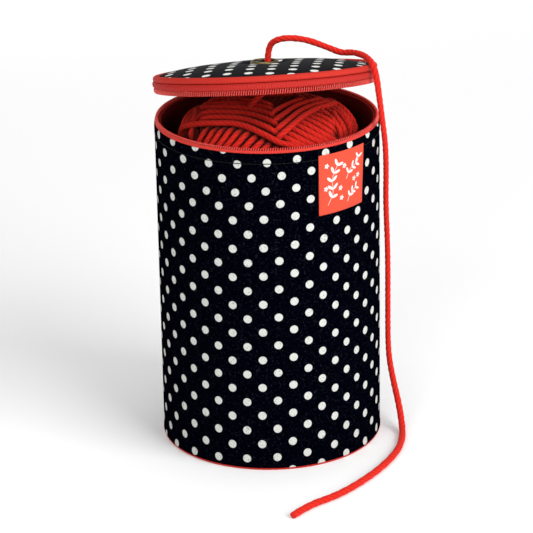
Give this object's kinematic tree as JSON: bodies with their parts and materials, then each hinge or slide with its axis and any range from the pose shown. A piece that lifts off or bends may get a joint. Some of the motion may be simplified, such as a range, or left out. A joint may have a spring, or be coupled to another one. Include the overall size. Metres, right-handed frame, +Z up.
{
  "type": "yarn dispenser box",
  "caption": "Round soft fabric box with a zipped padded lid on a fabric hinge. Yarn inside feeds out through a brass eyelet in the lid.",
  "frame": {"origin": "centre of the underside, on the floor", "axes": "+Z up, the lid's fabric hinge at +Y, the front at -Y"},
  "size_m": [0.163, 0.226, 0.2798],
  "materials": {
    "dotted_cotton": "woven cotton printed with white dots",
    "wadding": "soft fleece",
    "stiffener": "pressed board",
    "lining": "plain woven",
    "red_piping": "bias-cut cotton over cord",
    "zip_tape": "herringbone polyester tape",
    "zip_coil": "coiled nylon",
    "zip_metal": "antiqued",
    "antique_brass": "antiqued, satin",
    "label": "woven satin ribbon",
    "yarn": "soft plied yarn"
  },
  "bodies": {
    "box": {"outer_sleeve": "dotted_cotton", "wall_wadding": "wadding", "wall_stiffener": "stiffener", "wall_lining": "lining", "rim_facing": "lining", "base_cover": "dotted_cotton", "base_board": "stiffener", "base_lining": "lining", "base_piping": "red_piping", "lower_zip_tape": "zip_tape", "lower_zip_coil": "zip_coil", "lower_zip_stops": "zip_metal", "hinge_tab": "dotted_cotton", "side_label": "label", "spare_yarn_ball": "yarn", "yarn_feed": "yarn", "yarn_tail": "yarn"},
    "lid": {"lid_piping": "red_piping", "upper_zip_tape": "zip_tape", "upper_zip_coil": "zip_coil", "upper_zip_stops": "zip_metal", "lid_hinge_tab": "dotted_cotton", "lid_side_lining": "lining", "lid_lining": "lining", "lid_board": "stiffener", "lid_wadding": "wadding", "lid_cotton": "dotted_cotton", "eyelet": "antique_brass", "eyelet_washer": "antique_brass"},
    "slider": {"zip_slider": "zip_metal"},
    "pull": {"zip_pull": "zip_metal"},
    "skein": {"yarn_skein": "yarn"}
  },
  "joints": [
    {"name": "lid_hinge", "type": "hinge", "parent": "box", "child": "lid", "pos_m": [0, 0.075, 0.2275], "axis": [-1, 0, 0], "range_deg": [-13, 92], "deforming": ["yarn_tail", "yarn_feed"]},
    {"name": "slider_travel", "type": "hinge", "parent": "box", "child": "slider", "pos_m": [0, 0, 0.2275], "axis": [0, 0, -1], "range_deg": [0, 291]},
    {"name": "pull_swing", "type": "hinge", "parent": "slider", "child": "pull", "pos_m": [0.0435, 0.06329, 0.2275], "axis": [0, 0, 1], "range_deg": [0, 180]},
    {"name": "skein_turn", "type": "hinge", "parent": "box", "child": "skein", "pos_m": [0, 0, 0.185], "axis": [0, 0, 1], "continuous": true}
  ]
}
